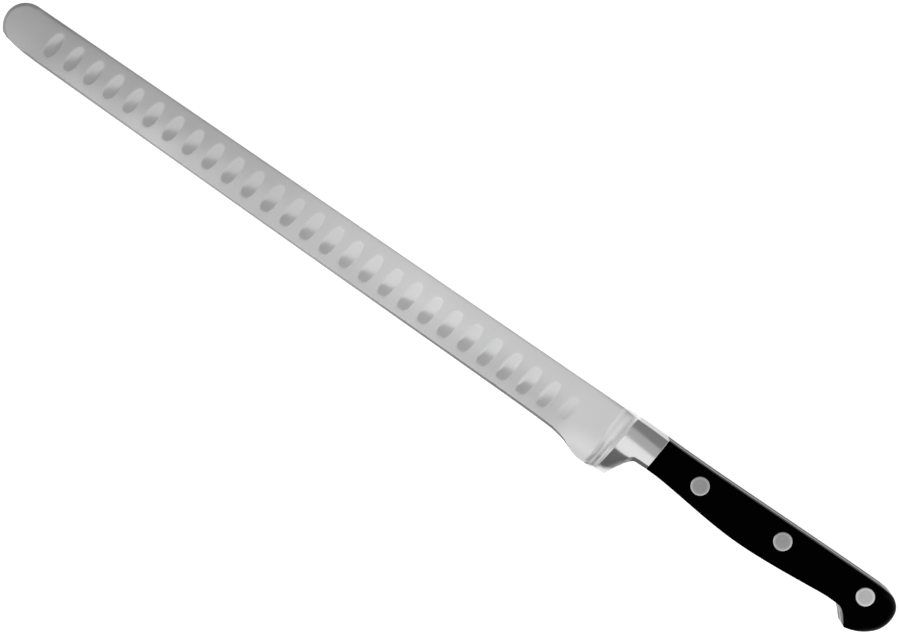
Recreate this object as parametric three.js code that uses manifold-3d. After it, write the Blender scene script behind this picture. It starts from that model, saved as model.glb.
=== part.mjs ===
// Salmon slicer: a long round-nosed blade with a row of oval scallops on each side, forged in one piece with
// its bolster and full tang, two riveted scales, and three two-part compression rivets.
// Millimetres. The knife lies on its side: +X runs to the butt, +Y to the spine, +Z up through the thickness.
// The origin is the middle of the bounding box on the plane that the lower scale rests on.
import * as THREE from 'three';
import { mergeVertices } from 'three/addons/utils/BufferGeometryUtils.js';
import Module from 'manifold-3d';

const wasm = await Module();
wasm.setup();

// ---- driving dimensions ------------------------------------------------------------------------------------
const HANDLE_T = 14.0;              // scale face to scale face
const MID = HANDLE_T / 2;           // mid-plane of the blade and tang
const TANG_T = 2.5;                 // tang thickness
const GLUE = 0.02;                  // bond line between tang and scale
const JOINT_GAP = 0.05;             // between the bolster's rear face and the scales
const SCALE_BEVEL = 1.1;            // rounding of the scales' outer edges

const SPINE_Y = 13.85;              // straight spine
const HEEL_Y = -13.85;              // lowest point of the heel
const TIP_C = [-204.17, 4.2];       // centre of the round nose
const TIP_R = 9.65;                 // radius of the round nose

const BLADE_H0 = 0.6043;            // flat-ground side: half thickness = H0 + HX * x + HY * y
const BLADE_HX = 0.0010636;         // distal taper
const BLADE_HY = 0.04107;           // taper from spine to edge
const EDGE_LAND = 0.05;             // half thickness at the very edge
const EDGE_BEVEL = 1.0;             // height of the edge bevel

const BOLSTER_H_FRONT = 6.2;        // half thickness at the bolster's front crest
const BOLSTER_H_REAR = 6.95;        // half thickness where it meets the scales
const BOLSTER_CROWN_R = 42.9;       // crown of the bolster's side faces
const BOLSTER_MID_Y = [7.43, 6.19]; // top of that crown, at the crest and at the scales
const CREASE_Y = -1.2;              // crease between the bolster and its finger guard
const GUARD_SLOPE = 0.042;          // how much faster the guard thins below the crease
const HEEL_ROLL = [-9.0, 0.062];    // the guard's lower end rolls off towards the heel

const CREST_TOP = 85.9;             // front crest of the bolster
const CREST_BOTTOM = 83.9;
const JOINT_TOP = [100.74, 13.52];  // joint line between bolster and scales
const JOINT_BOTTOM = [99.85, -1.08];

const SCALLOPS = 27;                // on each side
const SCALLOP_X0 = -190.75;         // first one, from the tip
const SCALLOP_PITCH = 9.664;
const SCALLOP_W = 6.0;
const SCALLOP_L = [12.9, 13.6];     // at the tip, towards the heel
const SCALLOP_DEPTH = 0.4;
const SCALLOP_RISE = [9.6, 10.5];   // row height above the edge line

const RIVETS = { front: [120.8, 5.6], middle: [160.2, 5.98], rear: [199.6, 6.34] };
const RIVET_HEAD_R = 4.0;
const RIVET_HEAD_T = 1.8;
const RIVET_TUBE_R = 2.4;
const RIVET_PIN_R = 1.6;
const ROUND = 24;                   // facets of the round pieces

// ---- outlines ----------------------------------------------------------------------------------------------
// cutting edge from the nose to the heel
const EDGE = [[-210.8, -2.7], [-209, -3.44], [-206.1, -4.1], [-201.9, -4.76], [-197.9, -5.12], [-193.9, -5.34],
  [-185.85, -5.5], [-60, -7.67], [58.6, -9.74], [62.6, -10.22], [65.8, -10.86], [69, -11.92], [72.25, -13.15],
  [74.7, -13.75], [77.1, HEEL_Y], [86.0, HEEL_Y]];
// back of the finger guard and underside of the bolster
const GUARD = [[86.0, HEEL_Y], [87.3, -13.5], [88.0, -12.2], [88.55, -10.78], [89.85, -7.76], [91.25, -5.1],
  [92.6, -2.97], [94.05, -1.82], [95.6, -1.42], [97.2, -1.25], JOINT_BOTTOM];
// handle, anticlockwise from the lower front corner round the hook and butt to the upper front corner
const HANDLE = [[104, -1.16], [108, -1.48], [113, -1.99], [120, -2.8], [127, -3.62], [134, -4.32], [141, -4.8],
  [146.5, -4.95], [152, -4.88], [159, -4.56], [166, -4.1], [173, -3.5], [180, -2.87], [185.5, -2.38],
  [189.3, -2.22], [191.3, -2.38], [193.2, -3.02], [195.0, -4.16], [196.6, -5.65], [198.0, -7.35], [198.9, -8.32],
  [199.7, -8.7], [200.7, -8.74], [202.7, -8.24], [204.6, -7.5], [206.4, -6.66], [208.0, -5.68], [209.5, -4.5],
  [210.8, -3.22], [211.9, -1.75], [212.75, -0.08], [213.35, 1.7], [213.7, 3.6], [213.75, 5.6], [213.4, 7.65],
  [212.5, 9.6], [211.1, 11.15], [209.4, 12.3], [207.4, 12.98], [204.5, 13.3], [200, 13.4], [192, 13.43],
  [182, 13.4], [165, 13.28], [145, 13.14], [125, 13.08], [112, 13.2], [104, 13.36]];

// ---- helpers -----------------------------------------------------------------------------------------------
const lerp = (a, b, t) => a + (b - a) * t;
const softplus = (v, w) => (v > 8 * w ? v : w * Math.log(1 + Math.exp(v / w)));

function along(points, x) {
  if (x <= points[0][0]) return points[0][1];
  for (let i = 1; i < points.length; i += 1) {
    const [x0, y0] = points[i - 1];
    const [x1, y1] = points[i];
    if (x <= x1) return lerp(y0, y1, (x - x0) / (x1 - x0));
  }
  return points[points.length - 1][1];
}

function toSolid(geometry) {
  const bare = geometry.clone();
  bare.deleteAttribute('normal');
  bare.deleteAttribute('uv');
  const merged = mergeVertices(bare, 1e-4);
  return new wasm.Manifold(new wasm.Mesh({
    numProp: 3,
    vertProperties: new Float32Array(merged.attributes.position.array),
    triVerts: new Uint32Array(merged.index.array),
  }));
}

function toGeometry(solid) {
  const mesh = solid.getMesh();
  const geometry = new THREE.BufferGeometry();
  geometry.setAttribute('position', new THREE.BufferAttribute(new Float32Array(mesh.vertProperties), 3));
  geometry.setIndex(new THREE.BufferAttribute(new Uint32Array(mesh.triVerts), 1));
  geometry.computeVertexNormals();
  return geometry;
}

function cylinderAt([x, y], radius, z0, z1) {
  return new THREE.CylinderGeometry(radius, radius, z1 - z0, ROUND)
    .rotateX(Math.PI / 2).translate(x, y, (z0 + z1) / 2);
}

function extrude(points, z0, z1, bevel = 0) {
  const shape = new THREE.Shape(points.map(([x, y]) => new THREE.Vector2(x, y)));
  const options = bevel
    ? { depth: z1 - z0 - 2 * bevel, bevelEnabled: true, bevelThickness: bevel, bevelSize: bevel, bevelOffset: -bevel,
      bevelSegments: 2, curveSegments: 1, steps: 1 }
    : { depth: z1 - z0, bevelEnabled: false, curveSegments: 1, steps: 1 };
  return new THREE.ExtrudeGeometry(shape, options).translate(0, 0, z0 + bevel);
}

// ---- blade and bolster: columns from the edge up to the spine, mirrored about the mid-plane --------------------
const bladeHalf = (x, y) => Math.max(0.16, BLADE_H0 + BLADE_HX * x + BLADE_HY * y);

function bolsterHalf(u, y) {
  const top = lerp(...BOLSTER_MID_Y, u);
  const face = Math.max(y, CREASE_Y);
  const crown = (face - top) ** 2 / (2 * BOLSTER_CROWN_R) + (top - CREASE_Y) / BOLSTER_CROWN_R * (face - y);
  return lerp(BOLSTER_H_FRONT, BOLSTER_H_REAR, u) - crown - GUARD_SLOPE * softplus(CREASE_Y - y, 0.12)
    - HEEL_ROLL[1] * Math.max(0, HEEL_ROLL[0] - y) ** 2;
}

const bottomOf = (x) => {
  const nose = TIP_C[1] - Math.sqrt(Math.max(0, TIP_R ** 2 - (x - TIP_C[0]) ** 2));
  if (x < EDGE[0][0]) return nose;
  if (x <= EDGE[EDGE.length - 1][0]) return along(EDGE, x);
  return along(GUARD, x);
};
const topOf = (x) => {
  if (x < TIP_C[0]) return TIP_C[1] + Math.sqrt(Math.max(0, TIP_R ** 2 - (x - TIP_C[0]) ** 2));
  return along([[TIP_C[0], SPINE_Y], [79, SPINE_Y], [84.75, 13.66], [92, 13.62], JOINT_TOP], x);
};

// [bottom x, top x, kind, share of that kind's run]
const columns = [];
[-213.75, -213.3, -212.4, -211.6, -210.8, -209, -207.4, -206.1, -205, -203.9, -201.9, -197.9, -193.9, -185.85, -120,
  -60, 0, 58.6, 62.6, 65.8, 69, 72.25, 74.7].forEach((x) => columns.push([x, x, 'blade', 0]));
[[77.1, 78.78, 0], [78.8, 80.56, 0.245], [80.5, 82.34, 0.507], [82.2, 84.12, 0.77], [83.49, 85.47, 0.968],
  [CREST_BOTTOM, CREST_TOP, 1]].forEach(([b, t, p]) => columns.push([b, t, 'ramp', p]));
[[84.8, 86.8], [86.0, 87.9], [87.3, 89.1], [88.0, 89.9], [88.55, 90.6], [89.85, 91.9], [91.25, 93.2], [92.6, 94.5],
  [94.05, 95.8], [95.6, 97.1], [97.2, 98.6], [JOINT_BOTTOM[0], JOINT_TOP[0]]]
  .forEach(([b, t]) => columns.push([b, t, 'bolster', (t - CREST_TOP) / (JOINT_TOP[0] - CREST_TOP)]));

const grid = columns.map(([xb, xt, kind, p]) => {
  const B = [xb, bottomOf(xb)];
  const T = [xt, topOf(xt)];
  const L = Math.hypot(T[0] - B[0], T[1] - B[1]);
  const rise = [0, Math.min(EDGE_BEVEL, 0.14 * L), Math.min(2.5, 0.28 * L), 0.38 * L, 0.54 * L, 0.7 * L,
    L - Math.min(2.2, 0.18 * L), L - Math.min(0.5, 0.08 * L), L];
  return rise.map((d, row) => {
    const x = lerp(B[0], T[0], d / L);
    const y = lerp(B[1], T[1], d / L);
    const last = rise.length - 1;
    let blade = bladeHalf(x, y);
    if (row === 0) blade = xb < EDGE[0][0] ? 0.14 : EDGE_LAND;
    if (row === last) blade -= 0.12;
    if (kind === 'blade') return [x, y, blade];
    let body = bolsterHalf(kind === 'ramp' ? 0 : p, y);
    if (row === 0) body -= Math.min(0.8, 0.55 * body);
    if (row === last) body -= 0.5;
    if (kind === 'bolster') return [x, y, body];
    return [x, y, lerp(blade, body, p)];
  });
});

function loft(cells) {
  const C = cells.length;
  const R = cells[0].length;
  const position = [];
  cells.forEach((column) => column.forEach(([x, y, h]) => position.push(x, y, MID + h, x, y, MID - h)));
  const front = (c, r) => 2 * (c * R + r);
  const back = (c, r) => front(c, r) + 1;
  const index = [];
  const quad = (a, b, c, d) => index.push(a, b, c, a, c, d);
  for (let c = 0; c < C - 1; c += 1) {
    for (let r = 0; r < R - 1; r += 1) {
      quad(front(c, r), front(c + 1, r), front(c + 1, r + 1), front(c, r + 1));
      quad(back(c, r), back(c, r + 1), back(c + 1, r + 1), back(c + 1, r));
    }
    quad(back(c, 0), back(c + 1, 0), front(c + 1, 0), front(c, 0));
    quad(front(c, R - 1), front(c + 1, R - 1), back(c + 1, R - 1), back(c, R - 1));
  }
  for (let r = 0; r < R - 1; r += 1) {
    quad(back(0, r), front(0, r), front(0, r + 1), back(0, r + 1));
    quad(back(C - 1, r), back(C - 1, r + 1), front(C - 1, r + 1), front(C - 1, r));
  }
  const geometry = new THREE.BufferGeometry();
  geometry.setAttribute('position', new THREE.BufferAttribute(new Float32Array(position), 3));
  geometry.setIndex(index);
  return geometry;
}

let forging = toSolid(loft(grid));

// full tang: the handle's own outline, rooted inside the bolster
const tangOutline = [[96.5, 1.5], [99.3, 1.5], [JOINT_BOTTOM[0] - 0.02, JOINT_BOTTOM[1] + 0.06], ...HANDLE,
  [JOINT_TOP[0] - 0.02, JOINT_TOP[1] - 0.06], [99.8, 11], [96.5, 11]];
forging = forging.add(toSolid(extrude(tangOutline, MID - TANG_T / 2, MID + TANG_T / 2)));

// scallops: shallow oval hollows, the far row staggered by half a pitch, the last ones by the heel shallower
const cap = 0.75;                                         // share of the cutter's half height that stays outside
const spread = Math.sqrt(1 - cap * cap);
for (const side of [1, -1]) {
  for (let i = 0; i < SCALLOPS; i += 1) {
    const x = SCALLOP_X0 + SCALLOP_PITCH * (i + (side > 0 ? 0 : 0.5));
    if (x > 64) continue;
    const heelward = THREE.MathUtils.smoothstep(x, -195, -60);
    const y = along(EDGE.slice(6, 9), x) + lerp(...SCALLOP_RISE, heelward);
    const cutterC = SCALLOP_DEPTH * (1 - 0.72 * THREE.MathUtils.smoothstep(x, 44, 61)) / (1 - cap);
    const h = bladeHalf(x, y);
    const cutter = new THREE.SphereGeometry(1, 8, 6).rotateX(Math.PI / 2)
      .scale(SCALLOP_W / 2 / spread, lerp(...SCALLOP_L, heelward) / 2 / spread, cutterC)
      .rotateX(side * Math.atan(BLADE_HY))
      .translate(x, y, MID + side * (h + cutterC * cap));
    forging = forging.subtract(toSolid(cutter));
  }
}

// rivet holes through the tang
for (const centre of Object.values(RIVETS)) {
  forging = forging.subtract(toSolid(cylinderAt(centre, RIVET_TUBE_R + 0.1, 0, HANDLE_T)));
}

// ---- scales ------------------------------------------------------------------------------------------------
// The outline runs on past the joint, is rounded all round, and is then cut off along the joint line and at the
// face that lies on the tang.
const scaleOutline = [[92, -1.08], JOINT_BOTTOM, ...HANDLE, JOINT_TOP, [92, 13.55]];
const jointX = (y) => lerp(JOINT_BOTTOM[0], JOINT_TOP[0],
  (y - JOINT_BOTTOM[1]) / (JOINT_TOP[1] - JOINT_BOTTOM[1])) + JOINT_GAP;
const behindJoint = [[jointX(-20), -20], [230, -20], [230, 20], [jointX(20), 20]];

function scale(side) {
  const inner = MID + side * (TANG_T / 2 + GLUE);
  const outer = MID + side * MID;
  const far = MID - side * MID;
  const block = toSolid(extrude(scaleOutline, Math.min(outer, far), Math.max(outer, far), SCALE_BEVEL));
  const keep = toSolid(extrude(behindJoint, Math.min(inner, outer + side), Math.max(inner, outer + side)));
  let body = block.intersect(keep);
  const floor = outer - side * (RIVET_HEAD_T + 0.02);
  for (const centre of Object.values(RIVETS)) {
    body = body.subtract(toSolid(cylinderAt(centre, RIVET_TUBE_R + 0.06, 0, HANDLE_T)));
    body = body.subtract(toSolid(cylinderAt(centre, RIVET_HEAD_R + 0.04, Math.min(floor, outer + side),
      Math.max(floor, outer + side))));
  }
  return toGeometry(body);
}

// ---- rivets: a headed pin from above pressed into a headed tube from below --------------------------------------
function revolve(profile, [x, y]) {
  return new THREE.LatheGeometry(profile.map(([r, z]) => new THREE.Vector2(r, z)), ROUND)
    .rotateX(Math.PI / 2).translate(x, y, 0);
}
const pinProfile = [[0, 2.4], [1.35, 2.4], [RIVET_PIN_R, 2.7], [RIVET_PIN_R, HANDLE_T - RIVET_HEAD_T],
  [RIVET_HEAD_R, HANDLE_T - RIVET_HEAD_T], [RIVET_HEAD_R, HANDLE_T - 0.1], [RIVET_HEAD_R - 0.5, HANDLE_T], [0, HANDLE_T]];
const tubeProfile = [[0, 0], [RIVET_HEAD_R - 0.5, 0], [RIVET_HEAD_R, 0.1], [RIVET_HEAD_R, RIVET_HEAD_T],
  [RIVET_TUBE_R, RIVET_HEAD_T], [RIVET_TUBE_R, 11.8], [RIVET_PIN_R + 0.04, 11.8], [RIVET_PIN_R + 0.04, 2.0], [0, 2.0]];

// ---- assembly ------------------------------------------------------------------------------------------------
const steel = () => new THREE.MeshStandardMaterial({ color: 0xb9bbbd, roughness: 0.34, metalness: 1 });
const rivetSteel = () => new THREE.MeshStandardMaterial({ color: 0xc3c4c5, roughness: 0.28, metalness: 1 });
const black = () => new THREE.MeshStandardMaterial({ color: 0x070707, roughness: 0.25, metalness: 0 });

const knife = new THREE.Group();
function add(name, geometry, material) {
  const mesh = new THREE.Mesh(geometry, material);
  mesh.name = name;
  knife.add(mesh);
}
add('blade_bolster_tang', toGeometry(forging), steel());
add('upper_scale', scale(1), black());
add('lower_scale', scale(-1), black());
for (const [place, centre] of Object.entries(RIVETS)) {
  add(`${place}_rivet_pin`, revolve(pinProfile, centre), rivetSteel());
  add(`${place}_rivet_tube`, revolve(tubeProfile, centre), rivetSteel());
}

export default knife;
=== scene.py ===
# Looks of the salmon slicer: the forging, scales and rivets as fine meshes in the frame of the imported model,
# with procedural materials, a pale floor, soft light and the photograph's camera.
import math

import bmesh
import bpy
import numpy as np
from mathutils import Matrix, Vector


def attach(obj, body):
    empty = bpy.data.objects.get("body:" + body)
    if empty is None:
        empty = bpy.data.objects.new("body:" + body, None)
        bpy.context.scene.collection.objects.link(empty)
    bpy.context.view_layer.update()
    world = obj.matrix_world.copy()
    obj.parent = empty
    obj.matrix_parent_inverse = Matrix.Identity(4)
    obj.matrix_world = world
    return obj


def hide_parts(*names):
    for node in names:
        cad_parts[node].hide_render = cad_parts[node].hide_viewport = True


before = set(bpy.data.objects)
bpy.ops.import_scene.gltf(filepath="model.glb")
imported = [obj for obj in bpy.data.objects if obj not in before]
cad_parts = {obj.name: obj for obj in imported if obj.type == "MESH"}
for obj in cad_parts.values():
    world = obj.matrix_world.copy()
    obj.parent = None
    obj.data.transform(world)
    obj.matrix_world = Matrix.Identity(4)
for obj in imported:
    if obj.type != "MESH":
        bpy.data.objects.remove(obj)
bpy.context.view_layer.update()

# ------------------------------------------------------------------------------------------------ dimensions, mm
MID = 7.0
TANG_H = 1.25
GLUE = 0.02
SPINE_Y = 13.85
HEEL_Y = -13.85
TIP_C = (-204.17, 4.2)
TIP_R = 9.65
BLADE = (0.6043, 0.0010636, 0.04107)
BOLSTER_FRONT, BOLSTER_REAR = 6.2, 6.95
CROWN_R, CROWN_FRONT, CROWN_REAR = 42.9, 7.43, 6.19
GUARD_SLOPE = 0.042
CHAMFER_SLOPE = 0.15
JOINT_TOP = (100.74, 13.52)
JOINT_BOTTOM = (99.85, -1.08)
CREST_TOP, CREST_BOTTOM = 85.9, 83.9
SCALLOPS, SCALLOP_X0, SCALLOP_PITCH = 27, -190.75, 9.664
SCALLOP_W, SCALLOP_DEPTH, SCALLOP_RAKE = 5.95, 0.16, 0.10
SCALLOP_AT = [-172, -123, -75, -27, 12, 40, 56]             # along the blade: ends above the edge, shift, deeper end
SCALLOP_TOP = [16.45, 17.0, 17.5, 17.4, 17.4, 17.4, 17.3]
SCALLOP_BOTTOM = [3.6, 3.8, 3.4, 3.35, 3.35, 3.2, 3.4]
SCALLOP_SHIFT = [0, 0.1, 0.35, 0.2, 0.3, 0.45, 0.3]
SCALLOP_TILT = [0, 0, 0, -0.04, 0.004, -0.03, 0.0]
SCALLOP_FULL = [2.3, 2.6, 3.2, 3.4, 4.0, 4.0, 3.2]          # fullness of the outline
RIVETS = {"front": (120.8, 5.6), "middle": (160.2, 5.98), "rear": (199.6, 6.34)}
HEAD_R, HEAD_T, TUBE_R, PIN_R = 4.0, 1.8, 2.4, 1.6

EDGE = [(-210.8, -2.70), (-209, -3.44), (-206.1, -4.1), (-201.9, -4.76), (-197.9, -5.12), (-193.9, -5.34),
        (-185.85, -5.50), (-60.0, -7.67), (58.6, -9.74), (62.6, -10.22), (65.8, -10.86), (69, -11.92),
        (72.25, -13.15), (74.7, -13.75), (77.1, HEEL_Y), (86.0, HEEL_Y)]
GUARD = [(86.0, HEEL_Y), (87.3, -13.5), (88.0, -12.2), (88.55, -10.78), (89.85, -7.76), (91.25, -5.1),
         (92.6, -2.75), (94.05, -1.42), (95.6, -1.28), (97.2, -1.22), JOINT_BOTTOM]
BELLY = [JOINT_BOTTOM, (104, -1.16), (108, -1.48), (113, -1.99), (120, -2.80), (127, -3.62), (134, -4.32),
         (141, -4.80), (146.5, -4.95), (152, -4.88), (159, -4.56), (166, -4.10), (173, -3.50), (180, -2.87),
         (185.5, -2.38), (189.3, -2.22), (191.3, -2.38), (193.2, -3.02), (195.0, -4.16), (196.6, -5.65),
         (198.0, -7.35), (198.9, -8.32), (199.7, -8.70), (200.7, -8.74), (202.7, -8.24), (204.6, -7.5),
         (206.4, -6.66), (208.0, -5.68), (209.5, -4.5), (210.8, -3.22), (211.9, -1.75), (212.75, -0.08),
         (213.35, 1.7), (213.7, 3.6), (213.75, 5.0)]
BACK = [JOINT_TOP, (104, 13.36), (112, 13.2), (125, 13.08), (145, 13.12), (165, 13.22), (182, 13.26),
        (192, 13.24), (200, 13.20), (204.5, 13.13), (207.4, 12.92), (209.4, 12.3), (211.1, 11.15), (212.5, 9.6),
        (213.4, 7.65), (213.75, 5.6), (213.75, 5.0)]


# ------------------------------------------------------------------------------------------------ curve helpers
def spline(points, n):
    """n points along a centripetal Catmull-Rom curve through the points, evenly spaced by length."""
    p = np.array(points, float)
    p = np.vstack([2 * p[0] - p[1], p, 2 * p[-1] - p[-2]])
    out = []
    for i in range(1, len(p) - 2):
        a, b, c, d = p[i - 1], p[i], p[i + 1], p[i + 2]
        t0 = 0.0
        t1 = t0 + max(np.linalg.norm(b - a), 1e-9) ** 0.5
        t2 = t1 + max(np.linalg.norm(c - b), 1e-9) ** 0.5
        t3 = t2 + max(np.linalg.norm(d - c), 1e-9) ** 0.5
        t = np.linspace(t1, t2, 40, endpoint=False)[:, None]
        a1 = (t1 - t) / (t1 - t0) * a + (t - t0) / (t1 - t0) * b
        a2 = (t2 - t) / (t2 - t1) * b + (t - t1) / (t2 - t1) * c
        a3 = (t3 - t) / (t3 - t2) * c + (t - t2) / (t3 - t2) * d
        b1 = (t2 - t) / (t2 - t0) * a1 + (t - t0) / (t2 - t0) * a2
        b2 = (t3 - t) / (t3 - t1) * a2 + (t - t1) / (t3 - t1) * a3
        out.append((t2 - t) / (t2 - t1) * b1 + (t - t1) / (t2 - t1) * b2)
    out = np.vstack(out + [p[-2:-1]])
    return resample(out, n)


def resample(line, n):
    seg = np.r_[0, np.cumsum(np.linalg.norm(np.diff(line, axis=0), axis=1))]
    s = np.linspace(0, seg[-1], n)
    return np.c_[np.interp(s, seg, line[:, 0]), np.interp(s, seg, line[:, 1])]


def distance(P, line):
    """Distance of each point to a polyline, and how far along the line the nearest place is, 0 to 1."""
    best = np.full(len(P), 1e9)
    where = np.zeros(len(P))
    n = len(line) - 1
    for i in range(n):
        a, b = line[i], line[i + 1]
        d = b - a
        t = np.clip(((P - a) @ d) / max(d @ d, 1e-12), 0, 1)
        r = np.linalg.norm(P - (a + t[:, None] * d), axis=1)
        m = r < best
        best[m] = r[m]
        where[m] = (i + t[m]) / n
    return best, where


def smooth(a, b, x):
    t = np.clip((x - a) / (b - a), 0, 1)
    return t * t * (3 - 2 * t)


def softplus(v, w):
    return np.where(v > 8 * w, v, w * np.log1p(np.exp(np.minimum(v / w, 30))))


def softmax2(a, b, w):
    return 0.5 * (a + b + np.sqrt((a - b) ** 2 + w * w))


def softmin2(a, b, w):
    return 0.5 * (a + b - np.sqrt((a - b) ** 2 + w * w))


def rounding(d, r):
    """Drop of a quarter-round edge of radius r at distance d inside the outline."""
    k = np.clip(1 - d / r, 0, 1)
    return r * (1 - np.sqrt(np.maximum(0, 1 - k * k)))


# ------------------------------------------------------------------------------------------------ meshes
def new_mesh(name, verts_mm, faces, sharp=30.0):
    me = bpy.data.meshes.new(name)
    me.from_pydata([tuple(v) for v in (np.asarray(verts_mm, float) * 0.001)], [], faces)
    me.validate()
    me.polygons.foreach_set("use_smooth", [True] * len(me.polygons))
    me.set_sharp_from_angle(angle=math.radians(sharp))
    me.update()
    ob = bpy.data.objects.new(name, me)
    bpy.context.scene.collection.objects.link(ob)
    return ob


def two_sided(X, Y, HF, HB):
    """Closed mesh from a grid of columns and rows: front face at +HF, back face at -HB, walls all round."""
    C, R = X.shape
    front = np.stack([X, Y, MID + HF], -1).reshape(-1, 3)
    back = np.stack([X, Y, MID - HB], -1).reshape(-1, 3)
    n = C * R
    f = lambda c, r: c * R + r
    b = lambda c, r: n + c * R + r
    faces = []
    for c in range(C - 1):
        for r in range(R - 1):
            faces.append((f(c, r), f(c + 1, r), f(c + 1, r + 1), f(c, r + 1)))
            faces.append((b(c, r), b(c, r + 1), b(c + 1, r + 1), b(c + 1, r)))
        faces.append((b(c, 0), b(c + 1, 0), f(c + 1, 0), f(c, 0)))
        faces.append((f(c, R - 1), f(c + 1, R - 1), b(c + 1, R - 1), b(c, R - 1)))
    for r in range(R - 1):
        faces.append((b(0, r), f(0, r), f(0, r + 1), b(0, r + 1)))
        faces.append((b(C - 1, r), b(C - 1, r + 1), f(C - 1, r + 1), f(C - 1, r)))
    return np.vstack([front, back]), faces


def cut(ob, tools, sharp=30.0):
    """Subtracts the tools from ob and removes them."""
    for tool in tools:
        m = ob.modifiers.new("cut", "BOOLEAN")
        m.operation, m.solver, m.object = "DIFFERENCE", "EXACT", tool
        dg = bpy.context.evaluated_depsgraph_get()
        me = bpy.data.meshes.new_from_object(ob.evaluated_get(dg), preserve_all_data_layers=True, depsgraph=dg)
        ob.modifiers.clear()
        old, ob.data = ob.data, me
        bpy.data.meshes.remove(old)
        tm = tool.data
        bpy.data.objects.remove(tool)
        bpy.data.meshes.remove(tm)
    me = ob.data
    # corners that lie along a straight edge get clean triangles, so that no face is left without area
    bm = bmesh.new()
    bm.from_mesh(me)
    bmesh.ops.remove_doubles(bm, verts=bm.verts, dist=1e-7)
    rough = [f for f in bm.faces if len(f.verts) > 4 or any(lp.calc_angle() > math.pi - 1e-3 for lp in f.loops)]
    bmesh.ops.triangulate(bm, faces=rough, quad_method="BEAUTY", ngon_method="BEAUTY")
    bmesh.ops.dissolve_degenerate(bm, dist=1e-7, edges=bm.edges)
    bm.to_mesh(me)
    bm.free()
    me.polygons.foreach_set("use_smooth", [True] * len(me.polygons))
    me.set_sharp_from_angle(angle=math.radians(sharp))


def revolve(name, profile, centre, n=96, sharp=30.0):
    """Closed turned piece about a line parallel to Z; the profile starts and ends on the axis."""
    verts, faces, rings = [], [], []
    for r, z in profile:
        if r < 1e-6:
            rings.append([len(verts)])
            verts.append((centre[0], centre[1], z))
        else:
            rings.append(list(range(len(verts), len(verts) + n)))
            for i in range(n):
                a = 2 * math.pi * i / n
                verts.append((centre[0] + r * math.cos(a), centre[1] + r * math.sin(a), z))
    for lo, hi in zip(rings, rings[1:]):
        for i in range(n):
            j = (i + 1) % n
            if len(lo) == 1:
                faces.append((lo[0], hi[j], hi[i]))
            elif len(hi) == 1:
                faces.append((lo[i], lo[j], hi[0]))
            else:
                faces.append((lo[i], lo[j], hi[j], hi[i]))
    return new_mesh(name, verts, faces, sharp)


# ------------------------------------------------------------------------------------------------ forging
edge_line = spline(EDGE, 900)
guard_line = spline(GUARD, 140)
edge_line[:, 1] = np.maximum(edge_line[:, 1], HEEL_Y)
guard_line[:, 1] = np.maximum(guard_line[:, 1], HEEL_Y)
nose = np.array([(TIP_C[0] - TIP_R * math.cos(a), TIP_C[1] + TIP_R * math.sin(a))
                 for a in np.linspace(-math.pi / 2, math.pi / 2, 240)])
low_line = np.vstack([edge_line, guard_line[1:]])
spine_pts = [(TIP_C[0], SPINE_Y), (-100, SPINE_Y), (60, SPINE_Y), (79, SPINE_Y), (85, SPINE_Y), (93, 13.82), (97, 13.71), JOINT_TOP]
spine_line = np.array(spine_pts)


def low_y(x):
    y = np.interp(x, edge_line[:, 0], edge_line[:, 1])
    return np.where(x < EDGE[0][0], TIP_C[1] - np.sqrt(np.maximum(0, TIP_R ** 2 - (x - TIP_C[0]) ** 2)), y)


def top_y(x):
    y = np.interp(x, spine_line[:, 0], spine_line[:, 1])
    return np.where(x < TIP_C[0], TIP_C[1] + np.sqrt(np.maximum(0, TIP_R ** 2 - (x - TIP_C[0]) ** 2)), y)


cols = []       # (bottom point, top point, kind, share)
for a in np.linspace(0.1206, math.pi / 2, 34):
    x = TIP_C[0] - TIP_R * math.cos(a)
    cols.append((x, float(low_y(x)), x, float(top_y(x)), 0, 0.0))
for x in np.linspace(TIP_C[0], 74.0, 640)[1:]:
    cols.append((x, float(low_y(x)), x, float(top_y(x)), 0, 0.0))
for t in np.linspace(0, 1, 9)[1:-1]:
    xb, xt = 74.0 + t * (77.1 - 74.0), 74.0 + t * (78.78 - 74.0)
    cols.append((xb, float(low_y(xb)), xt, float(top_y(xt)), 0, 0.0))
# ramp up to the bolster's crest: a short hollow, a straight slope, then a small rounded crest
RAMP_R, SLOPE_L, CREST_R, STEEP = 0.3, 7.2, 0.7, math.radians(38)
prof = [(RAMP_R * math.sin(a), RAMP_R * (1 - math.cos(a))) for a in np.linspace(0, STEEP, 14)]
x0, z0 = prof[-1]
prof += [(x0 + t * SLOPE_L * math.cos(STEEP), z0 + t * SLOPE_L * math.sin(STEEP)) for t in np.linspace(0, 1, 24)[1:]]
x0, z0 = prof[-1]
prof += [(x0 + CREST_R * (math.sin(STEEP) - math.sin(a)), z0 + CREST_R * (math.cos(a) - math.cos(STEEP)))
         for a in np.linspace(STEEP, math.radians(4), 9)[1:]]
RUN, RISE = prof[-1]
for px, pz in prof:
    xb = 77.1 + (CREST_BOTTOM - 77.1) * px / RUN
    xt = 78.78 + (CREST_TOP - 78.78) * px / RUN
    cols.append((xb, float(low_y(xb)), xt, float(top_y(xt)), 1, pz / RISE))
rear = np.vstack([[(CREST_BOTTOM, HEEL_Y)], [(x, HEEL_Y) for x in np.linspace(83.2, 85.6, 6)], guard_line])
rear = resample(rear, 72)
for i, (xb, yb) in enumerate(rear[1:], 1):
    t = i / (len(rear) - 1)
    xt = CREST_TOP + (JOINT_TOP[0] - CREST_TOP) * t
    cols.append((xb, yb, xt, float(top_y(xt)), 2, t))
n_body = len(cols)
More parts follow.
